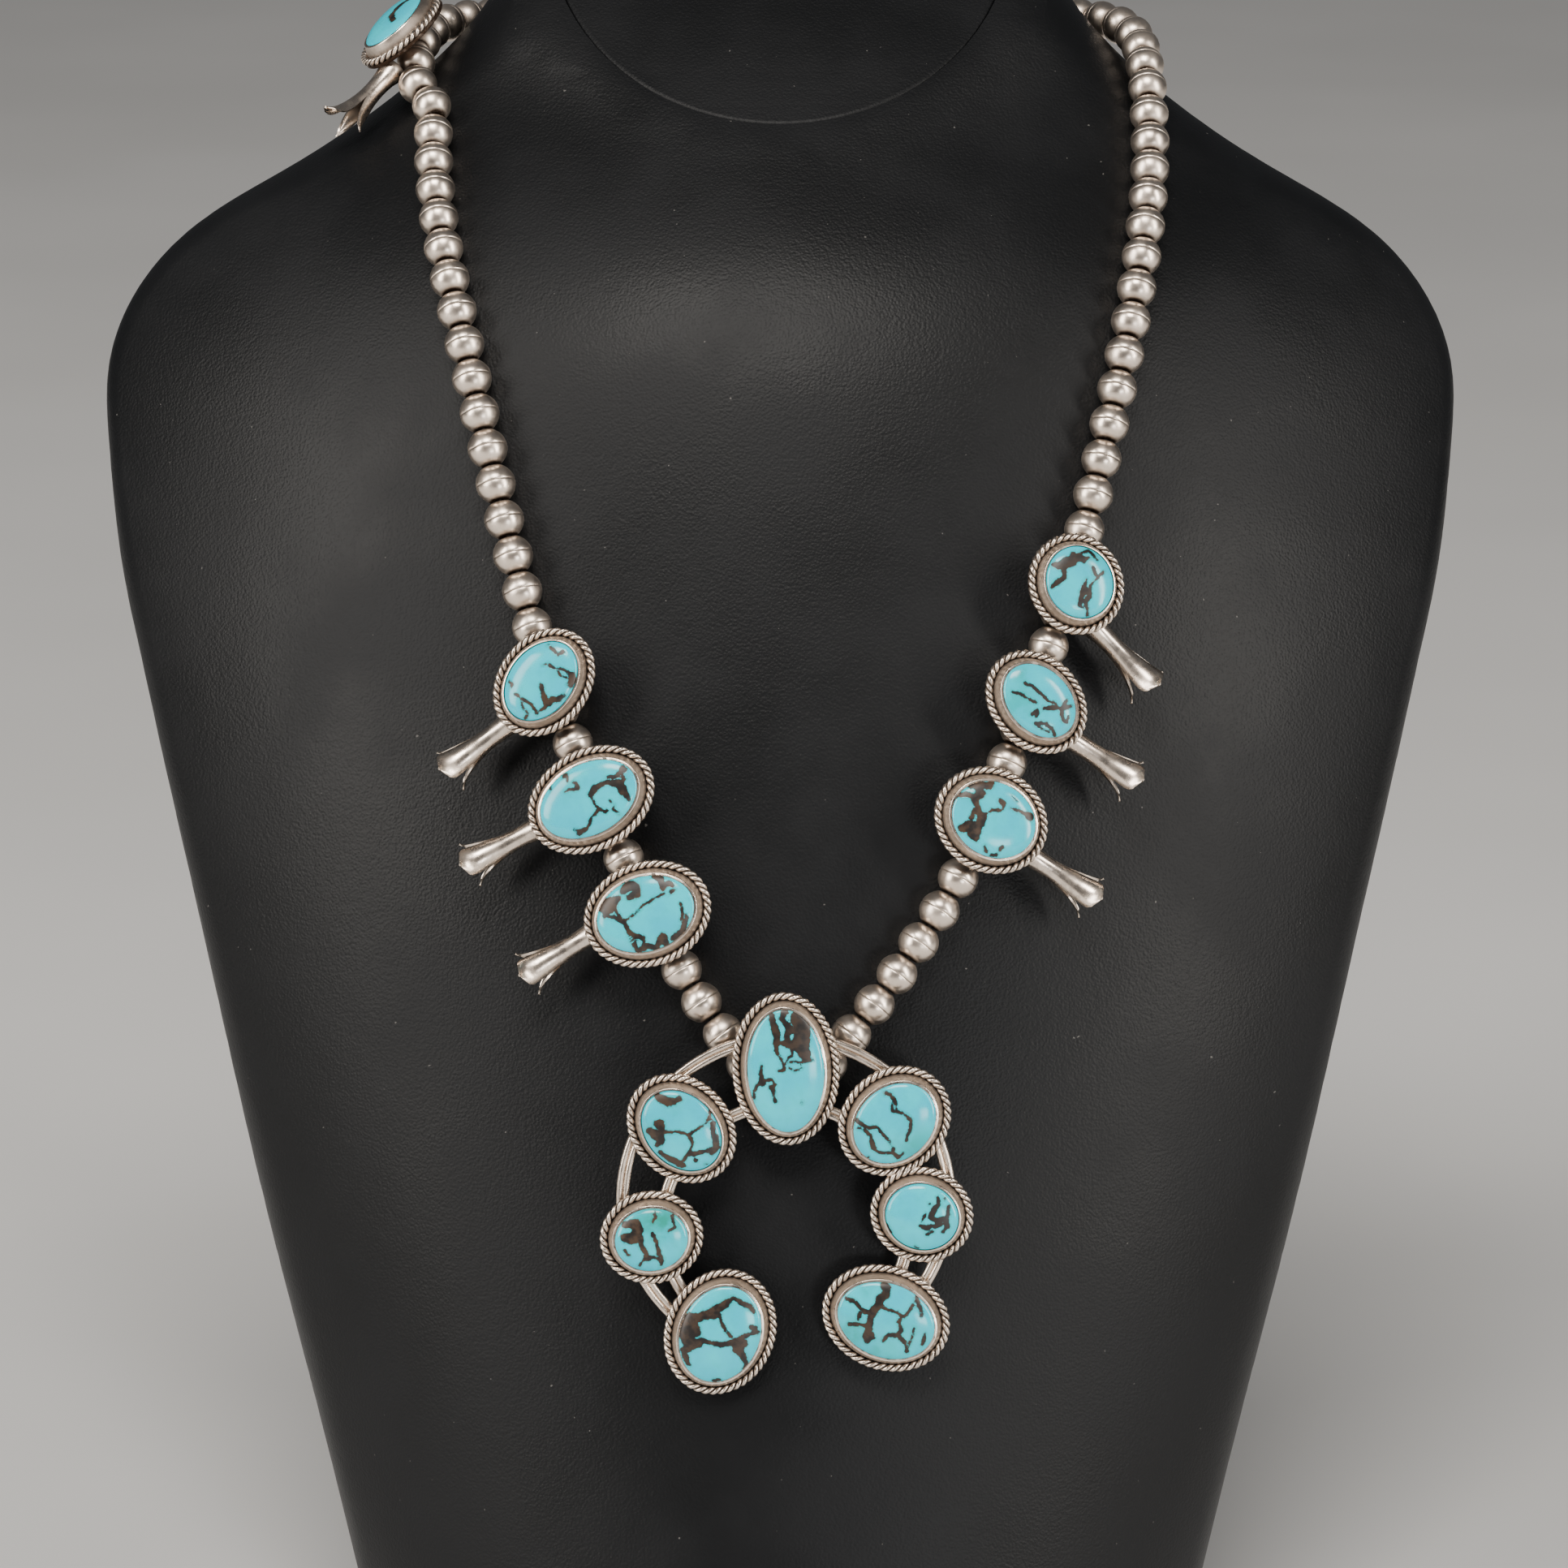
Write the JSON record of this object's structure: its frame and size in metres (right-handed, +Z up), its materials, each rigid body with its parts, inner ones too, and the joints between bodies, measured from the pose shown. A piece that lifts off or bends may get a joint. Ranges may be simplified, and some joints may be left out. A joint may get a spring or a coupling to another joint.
{
  "type": "squash blossom necklace on a neck bust",
  "caption": "Silver bead necklace with trumpet blossoms and a stone-set crescent pendant, laid on a plain leaning neck bust.",
  "frame": {"origin": "on the floor, under the middle of the bust's bounding box", "axes": "+Z up, the chest and the necklace face -Y, +X to the right as seen from the front"},
  "size_m": [0.265, 0.2276, 0.3625],
  "materials": {
    "leatherette": "fine-grained black leatherette, soft sheen",
    "silver": "aged satin silver, tarnished in the recesses",
    "turquoise": "polished turquoise with brown matrix",
    "thread": "plain dark thread"
  },
  "bodies": {
    "root": {"bust": "leatherette", "neck_cap": "leatherette", "bead_string_left": "silver", "bead_string_right": "silver", "blossom_left_1": "silver", "blossom_left_2": "silver", "blossom_left_3": "silver", "blossom_left_4": "silver", "blossom_right_1": "silver", "blossom_right_2": "silver", "blossom_right_3": "silver", "blossom_stone_left_1": "turquoise", "blossom_stone_left_2": "turquoise", "blossom_stone_left_3": "turquoise", "blossom_stone_left_4": "turquoise", "blossom_stone_right_1": "turquoise", "blossom_stone_right_2": "turquoise", "blossom_stone_right_3": "turquoise", "naja_frame": "silver", "naja_stone_top": "turquoise", "naja_stone_left_upper": "turquoise", "naja_stone_right_upper": "turquoise", "naja_stone_left_middle": "turquoise", "naja_stone_right_middle": "turquoise", "naja_stone_left_lower": "turquoise", "naja_stone_right_lower": "turquoise", "thread": "thread", "clasp": "silver"}
  },
  "joints": []
}
